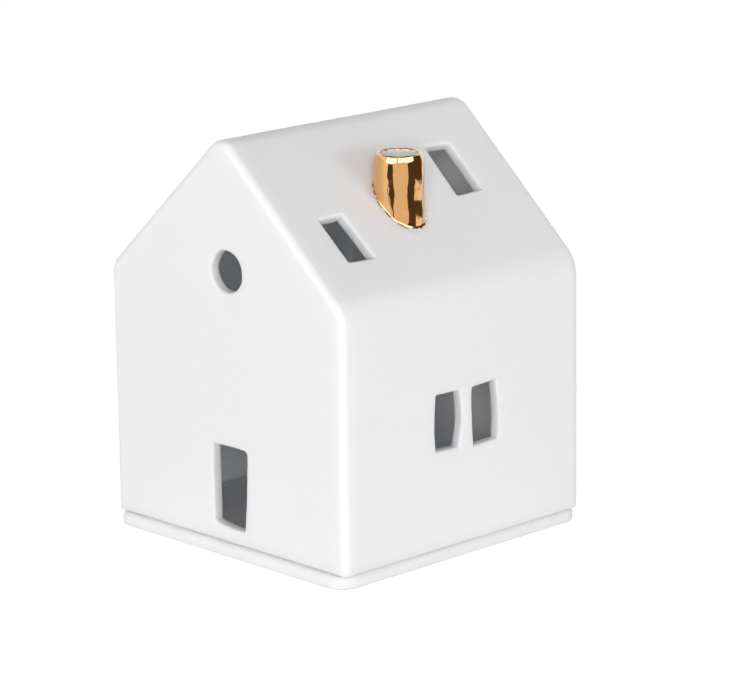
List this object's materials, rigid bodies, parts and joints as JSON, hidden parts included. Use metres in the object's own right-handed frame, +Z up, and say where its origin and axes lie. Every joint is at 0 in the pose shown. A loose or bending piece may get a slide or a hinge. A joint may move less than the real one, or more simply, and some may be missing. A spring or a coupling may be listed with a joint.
{
  "type": "porcelain tealight house",
  "caption": "White porcelain house with cut-out door, windows and skylights and a gold chimney, standing loose on a square plate over a tealight.",
  "frame": {"origin": "below the house's middle, at the plate's underside, where the object stands", "axes": "+Z up, -Y out of the gable with the door, +X out of the wall with the two windows"},
  "size_m": [0.0804, 0.0808, 0.099],
  "materials": {
    "porcelain": "satin",
    "gold_lustre": "polished",
    "aluminium": "satin",
    "wax": "satin",
    "tinned_steel": "satin",
    "cotton": "matte"
  },
  "bodies": {
    "base": {"base_plate": "porcelain"},
    "house": {"house_shell": "porcelain", "chimney": "gold_lustre"},
    "tealight": {"tealight_cup": "aluminium", "tealight_wax": "wax", "wick_sustainer": "tinned_steel", "tealight_wick": "cotton"}
  },
  "joints": [
    {"name": "house_lift", "type": "slide", "parent": "base", "child": "house", "axis": [0, 0, 1], "range_m": [0, 0.08]},
    {"name": "tealight_lift", "type": "slide", "parent": "base", "child": "tealight", "axis": [0, 0, 1], "range_m": [0, 0.03]}
  ]
}
